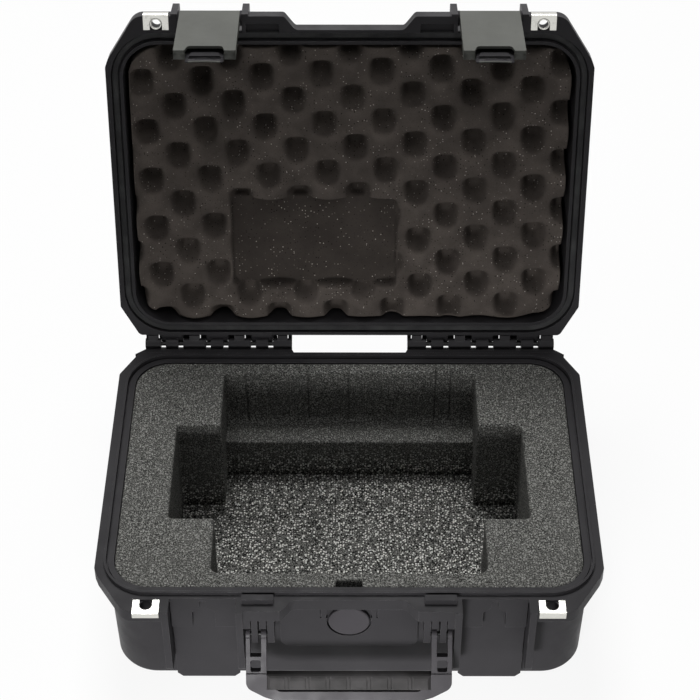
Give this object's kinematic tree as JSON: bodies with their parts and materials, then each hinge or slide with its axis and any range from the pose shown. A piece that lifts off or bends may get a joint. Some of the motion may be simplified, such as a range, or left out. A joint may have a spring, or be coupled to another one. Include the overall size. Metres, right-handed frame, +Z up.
{
  "type": "hard carrying case",
  "caption": "Hard equipment case with hinged lid, pull latches, folding handle, pressure valve, padlock guards and cut foam inserts, standing open.",
  "frame": {"origin": "centre of the base's underside", "axes": "+X to the right seen from the latch side, +Y towards the hinge, +Z up; the lid stands open"},
  "size_m": [0.4136, 0.4582, 0.4259],
  "materials": {
    "shell": "satin",
    "latch": "satin",
    "handle": "satin",
    "grip": "matte",
    "gasket": "matte",
    "steel": "satin",
    "base_foam": "matte",
    "lid_foam": "matte"
  },
  "bodies": {
    "base": {"base_shell": "shell", "hinge_pin_left": "steel", "hinge_pin_right": "steel", "handle_pin_left": "steel", "handle_pin_right": "steel", "valve_cap": "handle", "valve_body": "handle", "valve_seal": "gasket", "valve_nut": "handle", "padlock_guard_base_left": "steel", "padlock_guard_base_right": "steel", "base_foam": "base_foam", "base_foam_pad": "base_foam"},
    "lid": {"lid_shell": "shell", "lid_gasket": "gasket", "latch_pin_left": "steel", "latch_pin_right": "steel", "padlock_guard_lid_left": "steel", "padlock_guard_lid_right": "steel", "lid_foam": "lid_foam"},
    "latch_left": {"latch_left": "latch", "trigger_pin_left": "steel", "trigger_spring_left": "steel"},
    "latch_right": {"latch_right": "latch", "trigger_pin_right": "steel", "trigger_spring_right": "steel"},
    "trigger_left": {"latch_trigger_left": "latch"},
    "trigger_right": {"latch_trigger_right": "latch"},
    "handle": {"handle_frame": "handle", "handle_grip": "grip"}
  },
  "joints": [
    {"name": "lid_hinge", "type": "hinge", "parent": "base", "child": "lid", "pos_m": [0, 0.155, 0.1138], "axis": [1, 0, 0], "range_deg": [0, 103.74]},
    {"name": "latch_left_pivot", "type": "hinge", "parent": "lid", "child": "latch_left", "pos_m": [-0.1172, 0.23398, 0.41156], "axis": [1, 0, 0], "range_deg": [-100, 2.25]},
    {"name": "trigger_left_pull", "type": "hinge", "parent": "latch_left", "child": "trigger_left", "pos_m": [-0.1172, 0.20627, 0.41559], "axis": [1, 0, 0], "range_deg": [-6, 0], "stiffness_Nm_per_rad": 0.05, "springref_deg": 20.05},
    {"name": "latch_right_pivot", "type": "hinge", "parent": "lid", "child": "latch_right", "pos_m": [0.1172, 0.23398, 0.41156], "axis": [1, 0, 0], "range_deg": [-100, 2.25]},
    {"name": "trigger_right_pull", "type": "hinge", "parent": "latch_right", "child": "trigger_right", "pos_m": [0.1172, 0.20627, 0.41559], "axis": [1, 0, 0], "range_deg": [-6, 0], "stiffness_Nm_per_rad": 0.05, "springref_deg": 20.05},
    {"name": "handle_pivot", "type": "hinge", "parent": "base", "child": "handle", "pos_m": [0, -0.1525, 0.079], "axis": [1, 0, 0], "range_deg": [-70, 30]}
  ]
}
